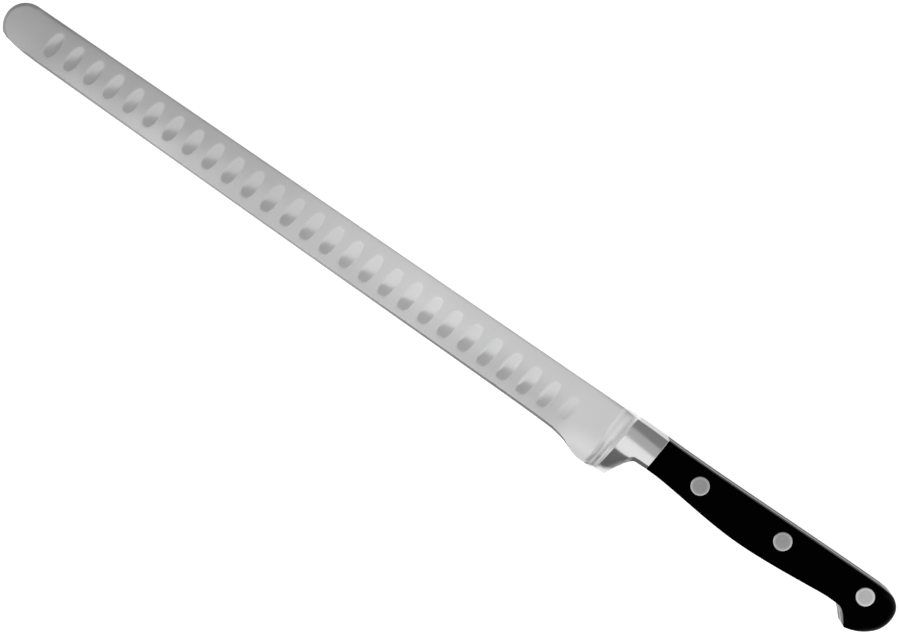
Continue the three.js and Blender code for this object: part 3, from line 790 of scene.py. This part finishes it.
# the floor glows as a light table: its emission, stronger on the cutting-edge side, renders it white and lights the
# knife from below
fb.inputs["Emission Color"].default_value = (1, 1, 1, 1)
xyz = fn.add("ShaderNodeSeparateXYZ")
fn.link(tc.outputs["Object"], xyz.inputs[0])
glow = fn.add("ShaderNodeMapRange", interpolation_type="SMOOTHSTEP", inputs={1: -0.030, 2: 0.012, 3: 1.30, 4: 0.86})
fn.link(xyz.outputs[1], glow.inputs[0])
fn.link(glow.outputs[0], fb.inputs["Emission Strength"])
fl.materials.append(fm)

# the sky of a light tent: bright low walls, a dim roof, and a soft panel on the side nearest the viewer
world = bpy.data.worlds.new("tent")
bpy.context.scene.world = world
world.use_nodes = True
w = Nodes(world.node_tree)
wo = w.add("ShaderNodeOutputWorld")
bg = w.add("ShaderNodeBackground")
w.link(bg.outputs[0], wo.inputs[0])
tc = w.add("ShaderNodeTexCoord")


def dot(vec):
    d = w.add("ShaderNodeVectorMath", operation="DOT_PRODUCT")
    w.link(tc.outputs["Generated"], d.inputs[0])
    d.inputs[1].default_value = vec
    return d.outputs["Value"]


def step(value, a, b, lo=0.0, hi=1.0):
    r = w.add("ShaderNodeMapRange", interpolation_type="SMOOTHSTEP", inputs={1: a, 2: b, 3: lo, 4: hi})
    w.link(value, r.inputs[0])
    return r.outputs[0]


def math_node(op, a, b):
    mn = w.add("ShaderNodeMath", operation=op)
    for i, v in enumerate((a, b)):
        if isinstance(v, (int, float)):
            mn.inputs[i].default_value = v
        else:
            w.link(v, mn.inputs[i])
    return mn.outputs[0]


a, b, z = dot((1, 0, 0)), dot((0, -1, 0)), dot((0, 0, 1))
upper = math_node("ADD", step(a, 0.08, 0.42, 0.0, 0.35), step(b, 0.35, 0.62, 0.26, 0.15))
wall = math_node("MULTIPLY", step(z, 0.33, 0.66, 1.05, 0.0), step(b, 0.3, 0.7, 1.0, 1.12))
total = math_node("MAXIMUM", upper, wall)
w.link(total, bg.inputs["Strength"])
bg.inputs["Color"].default_value = (1, 1, 1, 1)

# softbox over the cutting-edge side and a greyer card beside it
H = 0.42


def reach(v):
    """Place on the cards' plane that a level mirror under it sends a ray of sideways share v to."""
    return 0.004 - (H - 0.012) * math.tan(math.asin(v))


def card(name, low, high, stops):
    """Flat emitting card at height H between two lists of (x, y); stops give its brightness along x, in metres."""
    me = bpy.data.meshes.new(name)
    n = len(low)
    me.from_pydata([(x, y, H) for x, y in low + high], [], [(i, n + i, n + i + 1, i + 1) for i in range(n - 1)])
    ob = bpy.data.objects.new(name, me)
    bpy.context.scene.collection.objects.link(ob)
    mt = bpy.data.materials.new(name + "_cloth")
    mt.use_nodes = True
    n = Nodes(mt.node_tree)
    out = n.add("ShaderNodeOutputMaterial")
    em = n.add("ShaderNodeEmission")
    n.link(em.outputs[0], out.inputs[0])
    tc = n.add("ShaderNodeTexCoord")
    xyz = n.add("ShaderNodeSeparateXYZ")
    n.link(tc.outputs["Object"], xyz.inputs[0])
    level = None
    for (xa, la), (xb, lb) in zip(stops, stops[1:]):
        r = n.add("ShaderNodeMapRange", inputs={1: xa, 2: xb, 3: la if level is None else 0.0, 4: lb if level is None else lb - la})
        n.link(xyz.outputs[0], r.inputs[0])
        if level is None:
            level = r.outputs[0]
        else:
            plus = n.add("ShaderNodeMath", operation="ADD")
            n.link(level, plus.inputs[0])
            n.link(r.outputs[0], plus.inputs[1])
            level = plus.outputs[0]
    n.link(level, em.inputs["Strength"])
    me.materials.append(mt)
    ob.visible_camera = False


SEAM = [(-0.62, 0.40), (-0.45, 0.285), (-0.306, 0.205), (-0.25, 0.2005), (-0.19, 0.1955), (-0.127, 0.1945), (-0.06, 0.1985), (0.0, 0.2025),
        (0.045, 0.208), (0.075, 0.2105), (0.095, 0.187), (0.55, 0.186)]
seam = [(x, reach(v)) for x, v in SEAM]
card("softbox", [(x, reach(0.505)) for x, _ in SEAM], seam,
     [(-0.62, 1.08), (-0.30, 1.16), (0.0, 1.16), (0.06, 1.10), (0.11, 1.06)])
card("grey_card", seam, [(x, reach(-0.02)) for x, _ in SEAM],
     [(-0.62, 0.62), (-0.306, 0.67), (-0.194, 0.72), (-0.134, 0.71), (-0.072, 0.65), (-0.011, 0.635), (0.034, 0.61), (0.08, 0.55), (0.10, 0.53), (0.14, 0.54), (0.19, 0.535),
      (0.25, 0.49), (0.32, 1.11)])

bpy.context.scene.view_settings.view_transform = "Standard"
